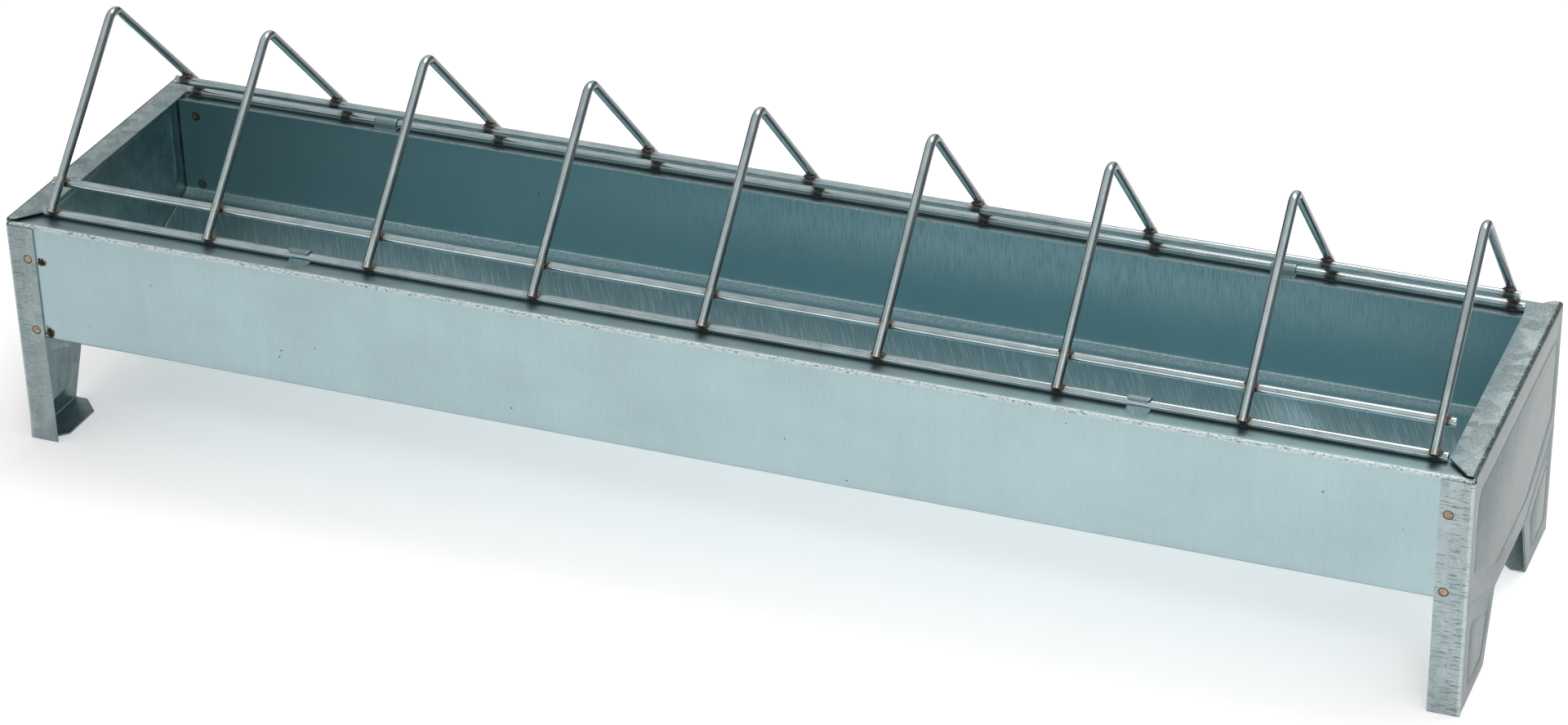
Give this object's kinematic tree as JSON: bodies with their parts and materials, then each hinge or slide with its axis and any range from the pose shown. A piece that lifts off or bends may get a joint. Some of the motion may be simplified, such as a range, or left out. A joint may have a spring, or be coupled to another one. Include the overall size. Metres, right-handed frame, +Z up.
{
  "type": "trough feeder",
  "caption": "Long low galvanised sheet-steel feed trough on four short legs, with a hinged wire grille of arched bars that lifts for filling.",
  "frame": {"origin": "on the floor under the middle of the trough", "axes": "+X along the trough, -Y towards the latch side of the grille, +Y towards its hinge, +Z up"},
  "size_m": [0.5, 0.117, 0.1387],
  "materials": {
    "galvanised_trough": "bright zinc coating, fine rolling lines",
    "galvanised_cap": "zinc coating with mottled spangle",
    "grille_wire": "drawn zinc-plated wire",
    "weld_metal": "burnt resistance-weld metal",
    "spot_weld": "heat-tinted spot weld"
  },
  "bodies": {
    "frame": {"trough_channel": "galvanised_trough", "end_cap_left": "galvanised_cap", "end_cap_right": "galvanised_cap", "spot_welds_left": "spot_weld", "spot_welds_right": "spot_weld", "latch_tongue_left": "galvanised_trough", "latch_tongue_right": "galvanised_trough"},
    "grille": {"hoop_1": "grille_wire", "hoop_2": "grille_wire", "hoop_3": "grille_wire", "hoop_4": "grille_wire", "hoop_5": "grille_wire", "hoop_6": "grille_wire", "hoop_7": "grille_wire", "hoop_8": "grille_wire", "hoop_9": "grille_wire", "rod_front_lower": "grille_wire", "rod_front_upper": "grille_wire", "rod_rear_upper": "grille_wire", "rod_rear_lower": "grille_wire", "welds_front_lower": "weld_metal", "welds_front_upper": "weld_metal", "welds_rear_upper": "weld_metal", "welds_rear_lower": "weld_metal"}
  },
  "joints": [
    {"name": "grille_hinge", "type": "hinge", "parent": "frame", "child": "grille", "pos_m": [0, 0.0494, 0.08485], "axis": [-1, 0, 0], "range_deg": [0, 52], "deforming": ["latch_tongue_left", "latch_tongue_right"]}
  ]
}
